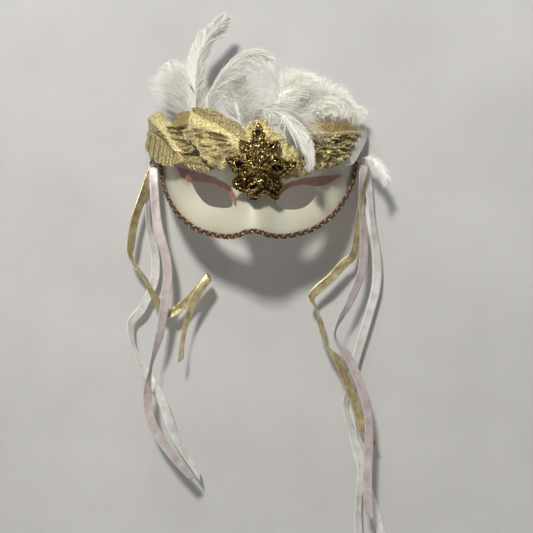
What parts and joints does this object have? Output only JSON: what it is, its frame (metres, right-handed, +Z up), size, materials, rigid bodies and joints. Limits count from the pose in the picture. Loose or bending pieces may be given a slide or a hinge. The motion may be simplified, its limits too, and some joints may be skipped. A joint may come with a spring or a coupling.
{
  "type": "masquerade half mask",
  "caption": "Decorated half mask for a masquerade: cream shell with gold leaves, a glitter leaf on the brow, white plumes, a braided edge and hanging ribbons at both temples.",
  "frame": {"origin": "the top edge of the shell at its centre, on the inside, where a hook or a strip holds it", "axes": "+Z up, the front of the mask faces -Y, +X to the right as one looks at the front"},
  "size_m": [0.2068, 0.0682, 0.4173],
  "materials": {
    "cream_shell": "satin cream paint, blushed pink over the eye holes",
    "gimp_braid": "gold and wine gimp",
    "glue_felt": "felt soaked with glue",
    "gold_leaf": "embossed metallic gold foil",
    "cream_leaf": "smooth cream",
    "glitter": "gold glitter",
    "feather": "white plume",
    "marabou": "white down",
    "gold_ribbon": "metallic gold",
    "pink_ribbon": "pale pink satin",
    "white_ribbon": "white satin"
  },
  "bodies": {
    "mask": {"mask_shell": "cream_shell", "edge_braid": "gimp_braid", "quill_pad": "glue_felt", "leaf_far_left": "gold_leaf", "leaf_curled_left": "gold_leaf", "leaf_brow_left": "gold_leaf", "leaf_lower_left": "gold_leaf", "leaf_centre": "gold_leaf", "leaf_right": "gold_leaf", "leaf_cream_right": "cream_leaf", "glitter_leaf": "glitter", "plume_tall": "feather", "plume_round": "feather", "plume_fan": "feather", "plume_arch": "feather", "plume_tuft": "feather", "marabou_inner": "marabou", "marabou_outer": "marabou", "plume_front": "feather"},
    "tie_left": {"knot_left": "pink_ribbon"},
    "tie_right": {"knot_right": "pink_ribbon", "feather_side": "feather"},
    "gold_left_ribbon": {"ribbon_gold_left": "gold_ribbon"},
    "pink_left_ribbon": {"ribbon_pink_left": "pink_ribbon"},
    "white_left_ribbon": {"ribbon_white_left": "white_ribbon"},
    "gold_right_ribbon": {"ribbon_gold_right": "gold_ribbon"},
    "pink_right_ribbon": {"ribbon_pink_right": "pink_ribbon"},
    "white_right_ribbon": {"ribbon_white_right": "white_ribbon"},
    "tail_right_ribbon": {"ribbon_tail_right": "white_ribbon"}
  },
  "joints": [
    {"name": "tie_left_swing", "type": "hinge", "parent": "mask", "child": "tie_left", "pos_m": [-0.0832, 0.035, -0.022], "axis": [1, 0, 0], "range_deg": [-50, 0.2]},
    {"name": "gold_left_sway", "type": "hinge", "parent": "tie_left", "child": "gold_left_ribbon", "pos_m": [-0.0832, 0.035, -0.022], "axis": [0, 1, 0], "range_deg": [-3, 35]},
    {"name": "pink_left_sway", "type": "hinge", "parent": "tie_left", "child": "pink_left_ribbon", "pos_m": [-0.0832, 0.035, -0.022], "axis": [0, 1, 0], "range_deg": [-3, 35]},
    {"name": "white_left_sway", "type": "hinge", "parent": "tie_left", "child": "white_left_ribbon", "pos_m": [-0.0832, 0.035, -0.022], "axis": [0, 1, 0], "range_deg": [-3, 35]},
    {"name": "tie_right_swing", "type": "hinge", "parent": "mask", "child": "tie_right", "pos_m": [0.0832, 0.035, -0.022], "axis": [1, 0, 0], "range_deg": [-50, 0.2]},
    {"name": "gold_right_sway", "type": "hinge", "parent": "tie_right", "child": "gold_right_ribbon", "pos_m": [0.0832, 0.035, -0.022], "axis": [0, 1, 0], "range_deg": [-35, 3]},
    {"name": "pink_right_sway", "type": "hinge", "parent": "tie_right", "child": "pink_right_ribbon", "pos_m": [0.0832, 0.035, -0.022], "axis": [0, 1, 0], "range_deg": [-35, 3]},
    {"name": "white_right_sway", "type": "hinge", "parent": "tie_right", "child": "white_right_ribbon", "pos_m": [0.0832, 0.035, -0.022], "axis": [0, 1, 0], "range_deg": [-35, 3]},
    {"name": "tail_right_sway", "type": "hinge", "parent": "tie_right", "child": "tail_right_ribbon", "pos_m": [0.0832, 0.035, -0.022], "axis": [0, 1, 0], "range_deg": [-35, 3]}
  ]
}
